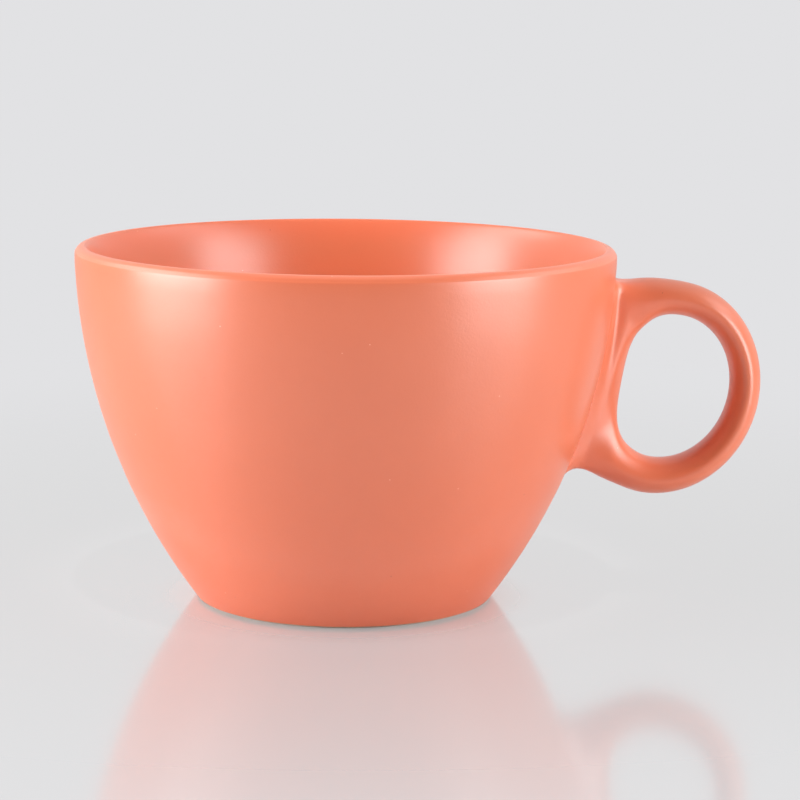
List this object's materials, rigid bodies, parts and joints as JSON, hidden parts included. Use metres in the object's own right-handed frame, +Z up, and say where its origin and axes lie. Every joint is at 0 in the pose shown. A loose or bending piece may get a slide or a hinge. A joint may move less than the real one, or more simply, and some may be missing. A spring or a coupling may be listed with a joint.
{
  "type": "cappuccino cup",
  "caption": "Stoneware coffee cup with a flared, curved wall, a rounded lip, a closed ring handle for a finger, a coral satin glaze and a bare foot ring to stand on.",
  "frame": {"origin": "middle of the foot ring's standing face, on the cup's axis at table level", "axes": "+Z up along the cup's axis, +X from the axis towards the handle, +Y towards the back when the handle points right"},
  "size_m": [0.1217, 0.095, 0.0629],
  "materials": {
    "clay": "fired cream stoneware under the glaze",
    "bare_clay": "bare fired cream stoneware, wiped free of glaze and slightly rough",
    "slip": "fired clay slip under the glaze",
    "coral_glaze": "coral satin glaze with a soft eggshell sheen"
  },
  "bodies": {
    "root": {"cup_body": "clay", "foot_ring": "bare_clay", "handle": "clay", "slip_joint": "slip", "outer_glaze": "coral_glaze", "inner_glaze": "coral_glaze", "handle_glaze": "coral_glaze", "base_glaze": "coral_glaze"}
  },
  "joints": []
}
